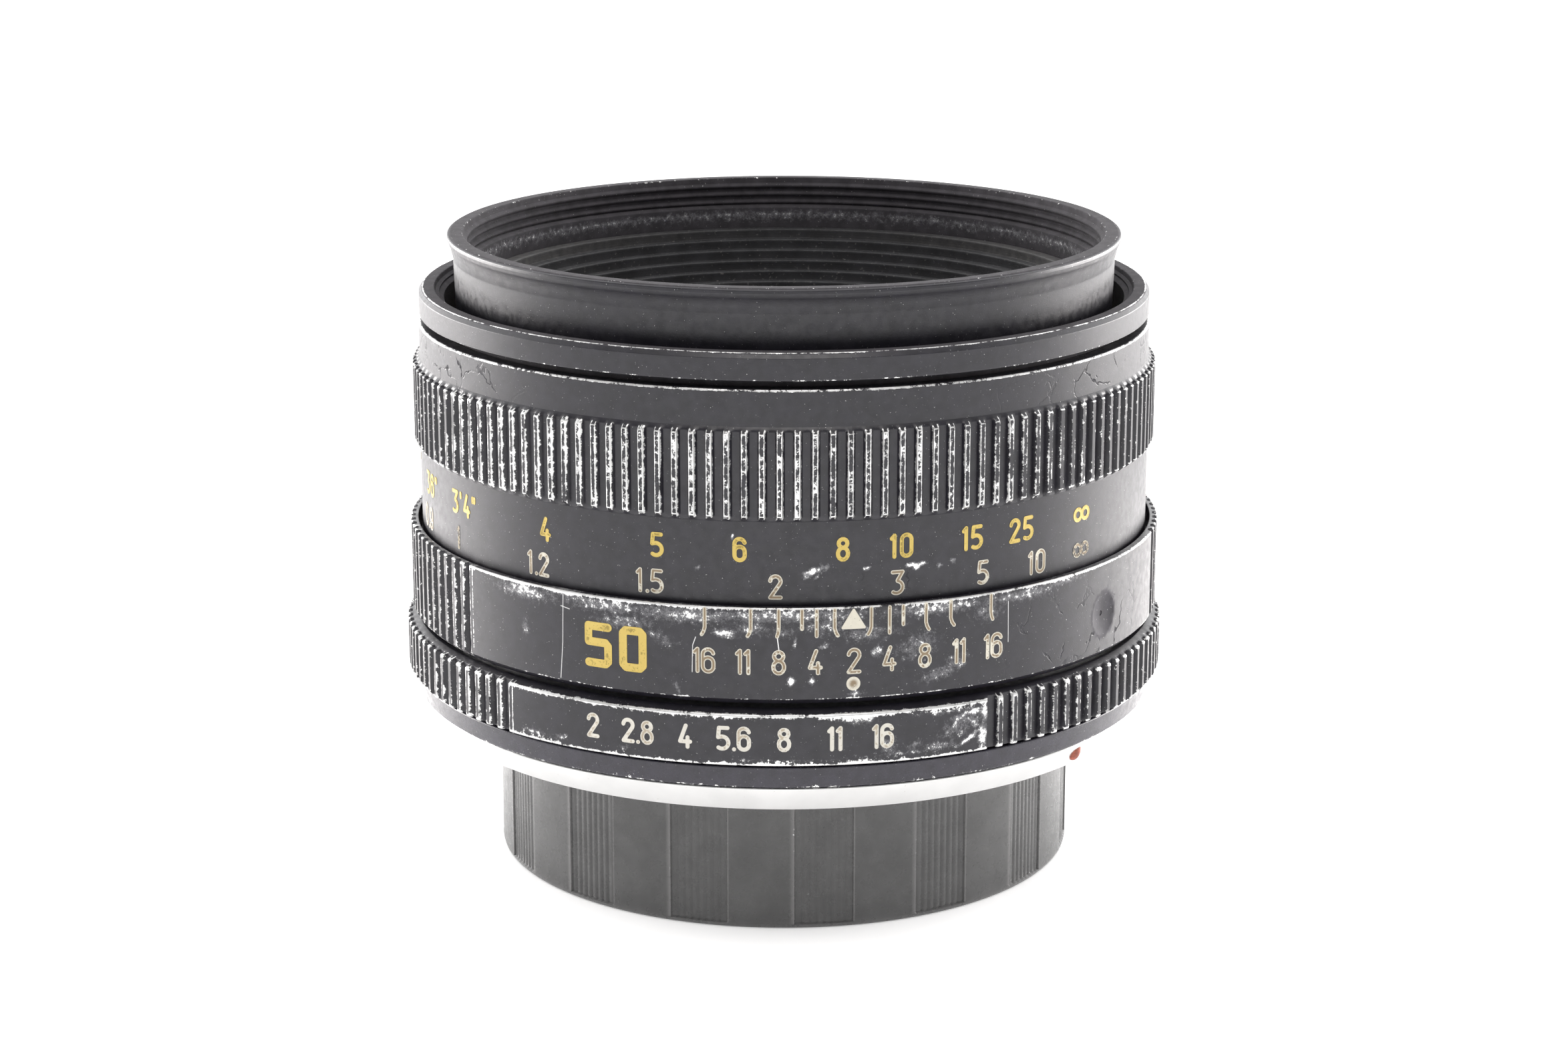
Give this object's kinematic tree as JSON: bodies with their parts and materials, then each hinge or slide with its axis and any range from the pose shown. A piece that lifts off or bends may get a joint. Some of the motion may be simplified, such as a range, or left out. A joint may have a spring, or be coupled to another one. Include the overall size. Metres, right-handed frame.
{
  "type": "prime camera lens",
  "caption": "Manual-focus prime lens for a reflex camera on its rear cap: turning focus and aperture rings, a moving lens group on a helicoid, and a working bladed iris.",
  "frame": {"origin": "centre of the underside of the rear cap, which the lens stands on", "axes": "+Z along the optical axis towards the subject; the index marks and scales face -Y; +X to the right seen from the index side"},
  "size_m": [0.066, 0.066, 0.0545],
  "materials": {
    "black_anodised": "satin black anodised aluminium, polished and worn to bare metal on its edges",
    "matt_black": "matt anti-reflection black",
    "chrome": "bright chromed brass, turned",
    "brass": "machined and greased",
    "aluminium": "machined, natural",
    "steel": "fine ground",
    "red_bead": "glossy moulded bead",
    "cap_plastic": "moulded black plastic with fine ribs, lightly scratched",
    "coated_glass": "polished, single-layer coated",
    "scale_yellow": "yellow paint filled into engraving",
    "scale_white": "off-white paint filled into engraving"
  },
  "bodies": {
    "rear_cap": {"rear_cap": "cap_plastic"},
    "lens_barrel": {"bayonet_flange": "chrome", "mount_index_bead": "red_bead", "flange_screw_1": "steel", "flange_screw_2": "steel", "flange_screw_3": "steel", "flange_screw_4": "steel", "rear_skirt": "black_anodised", "main_barrel": "aluminium", "guide_key_1": "brass", "guide_key_2": "brass", "depth_scale_ring": "black_anodised", "click_ball": "steel", "click_spring": "steel", "focus_stop_screw": "steel", "rear_baffle": "matt_black", "stop_down_spring": "steel"},
    "focus_group": {"focus_ring": "black_anodised", "helicoid_sleeve": "brass", "front_outer_ring": "black_anodised", "focus_grub_screw_1": "steel", "focus_grub_screw_2": "steel", "focus_grub_screw_3": "steel"},
    "optical_unit": {"front_barrel": "black_anodised", "inner_helicoid": "aluminium", "stepped_baffle": "matt_black", "front_cell": "matt_black", "front_retaining_ring": "matt_black", "element_spacer_ring": "matt_black", "rear_cell": "matt_black", "rear_retaining_ring": "matt_black", "iris_housing": "matt_black", "lens_element_1_front": "coated_glass", "lens_element_2": "coated_glass", "lens_element_3": "coated_glass", "lens_element_4": "coated_glass", "lens_element_5": "coated_glass", "lens_element_6_rear": "coated_glass"},
    "aperture_group": {"aperture_ring": "black_anodised", "aperture_fork": "steel", "metering_cam": "steel"},
    "iris_drive": {"iris_drive_ring": "brass"},
    "stop_down_lever": {"stop_down_ring": "steel"},
    "iris_blade_1": {"iris_blade_1": "steel"},
    "iris_blade_2": {"iris_blade_2": "steel"},
    "iris_blade_3": {"iris_blade_3": "steel"},
    "iris_blade_4": {"iris_blade_4": "steel"},
    "iris_blade_5": {"iris_blade_5": "steel"},
    "iris_blade_6": {"iris_blade_6": "steel"}
  },
  "joints": [
    {"name": "cap_release", "type": "slide", "parent": "rear_cap", "child": "lens_barrel", "axis": [0, 0, 1], "range_m": [0, 0.03]},
    {"name": "focus_turn", "type": "hinge", "parent": "lens_barrel", "child": "focus_group", "pos_m": [0, 0, 0.0375], "axis": [0, 0, 1], "range_deg": [-40.3, 232.1]},
    {"name": "focus_travel", "type": "slide", "parent": "lens_barrel", "child": "optical_unit", "axis": [0, 0, 1], "range_m": [-0.00103, 0.00593]},
    {"name": "aperture_turn", "type": "hinge", "parent": "lens_barrel", "child": "aperture_group", "pos_m": [0, 0, 0.019], "axis": [0, 0, 1], "range_deg": [-4.1, 37.3]},
    {"name": "iris_drive_turn", "type": "hinge", "parent": "optical_unit", "child": "iris_drive", "pos_m": [0, 0, 0.023], "axis": [0, 0, 1], "range_deg": [-4.2, 37.4]},
    {"name": "iris_blade_1_turn", "type": "hinge", "parent": "optical_unit", "child": "iris_blade_1", "pos_m": [0.00909, 0.01484, 0.0218], "axis": [0, 0, 1], "range_deg": [-27.4, 3.1]},
    {"name": "iris_blade_2_turn", "type": "hinge", "parent": "optical_unit", "child": "iris_blade_2", "pos_m": [-0.0083, 0.01529, 0.0218], "axis": [0, 0, 1], "range_deg": [-27.4, 3.1]},
    {"name": "iris_blade_3_turn", "type": "hinge", "parent": "optical_unit", "child": "iris_blade_3", "pos_m": [-0.01739, 0.00046, 0.0218], "axis": [0, 0, 1], "range_deg": [-27.4, 3.1]},
    {"name": "iris_blade_4_turn", "type": "hinge", "parent": "optical_unit", "child": "iris_blade_4", "pos_m": [-0.00909, -0.01484, 0.0218], "axis": [0, 0, 1], "range_deg": [-27.4, 3.1]},
    {"name": "iris_blade_5_turn", "type": "hinge", "parent": "optical_unit", "child": "iris_blade_5", "pos_m": [0.0083, -0.01529, 0.0218], "axis": [0, 0, 1], "range_deg": [-27.4, 3.1]},
    {"name": "iris_blade_6_turn", "type": "hinge", "parent": "optical_unit", "child": "iris_blade_6", "pos_m": [0.01739, -0.00046, 0.0218], "axis": [0, 0, 1], "range_deg": [-27.4, 3.1]},
    {"name": "stop_down_turn", "type": "hinge", "parent": "lens_barrel", "child": "stop_down_lever", "pos_m": [0, 0, 0.0094], "axis": [0, 0, 1], "range_deg": [0, 16], "stiffness_Nm_per_rad": 0.005, "springref_deg": -34.38}
  ],
  "couplings": [
    {"joint": "focus_travel", "follows": "focus_turn", "m_per_rad": 0.001461},
    {"joint": "iris_drive_turn", "follows": "aperture_turn", "ratio": 1},
    {"joint": "iris_blade_1_turn", "follows": "aperture_turn", "ratio": -0.7319},
    {"joint": "iris_blade_2_turn", "follows": "aperture_turn", "ratio": -0.7319},
    {"joint": "iris_blade_3_turn", "follows": "aperture_turn", "ratio": -0.7319},
    {"joint": "iris_blade_4_turn", "follows": "aperture_turn", "ratio": -0.7319},
    {"joint": "iris_blade_5_turn", "follows": "aperture_turn", "ratio": -0.7319},
    {"joint": "iris_blade_6_turn", "follows": "aperture_turn", "ratio": -0.7319}
  ]
}
